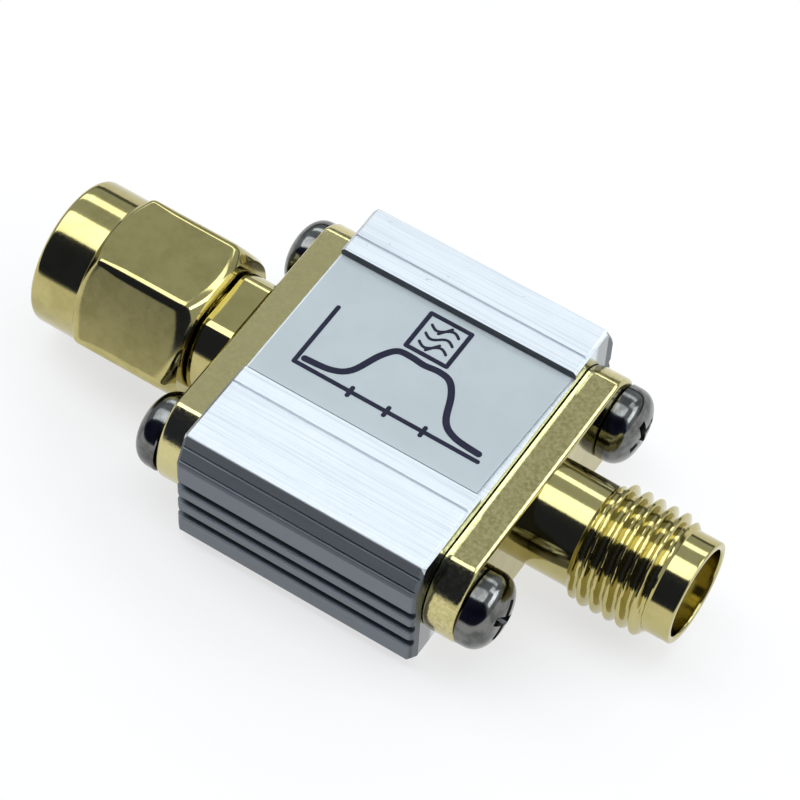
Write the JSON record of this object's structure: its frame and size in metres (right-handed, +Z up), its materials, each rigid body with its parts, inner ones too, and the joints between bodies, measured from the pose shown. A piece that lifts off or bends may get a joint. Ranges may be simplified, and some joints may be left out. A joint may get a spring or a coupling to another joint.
{
  "type": "rf bandpass filter",
  "caption": "Coaxial band-pass filter in a fluted extruded housing, with a threaded plug and a jack at opposite ends.",
  "frame": {"origin": "centre of the housing's bottom face", "axes": "+X along the connectors' axis towards the jack, +Y towards the housing's back, +Z up through the label"},
  "size_m": [0.0359, 0.018, 0.008],
  "materials": {
    "aluminium": "fine extruded lines, clear anodised",
    "gold_plated_brass": "bright gold plating over turned brass",
    "nickel_plated_steel": "dark bright nickel",
    "beryllium_copper": "spring temper, satin",
    "printed_vinyl": "pale grey film with dark print, satin",
    "fluoropolymer": "white, waxy",
    "silicone": "red, matt",
    "glass_laminate": "green solder mask",
    "ceramic": "cream, fired",
    "tinned_ceramic": "tan with tinned ends",
    "ferrite": "dark grey, sintered"
  },
  "bodies": {
    "filter": {"housing": "aluminium", "label": "printed_vinyl", "plug_shell": "gold_plated_brass", "jack_shell": "gold_plated_brass", "screw_plug_front": "nickel_plated_steel", "screw_plug_back": "nickel_plated_steel", "screw_jack_front": "nickel_plated_steel", "screw_jack_back": "nickel_plated_steel", "plug_insulator": "fluoropolymer", "plug_pin": "gold_plated_brass", "snap_ring": "beryllium_copper", "plug_gasket": "silicone", "jack_insulator": "fluoropolymer", "jack_contact": "gold_plated_brass", "circuit_board": "glass_laminate", "filter_chip": "ceramic", "capacitor_in": "tinned_ceramic", "capacitor_out": "tinned_ceramic", "inductor_in": "ferrite", "inductor_out": "ferrite"},
    "nut": {"coupling_nut": "gold_plated_brass"}
  },
  "joints": [
    {"name": "nut_spin", "type": "hinge", "parent": "filter", "child": "nut", "pos_m": [-0.015, 0, 0.0038], "axis": [-1, 0, 0], "continuous": true}
  ]
}
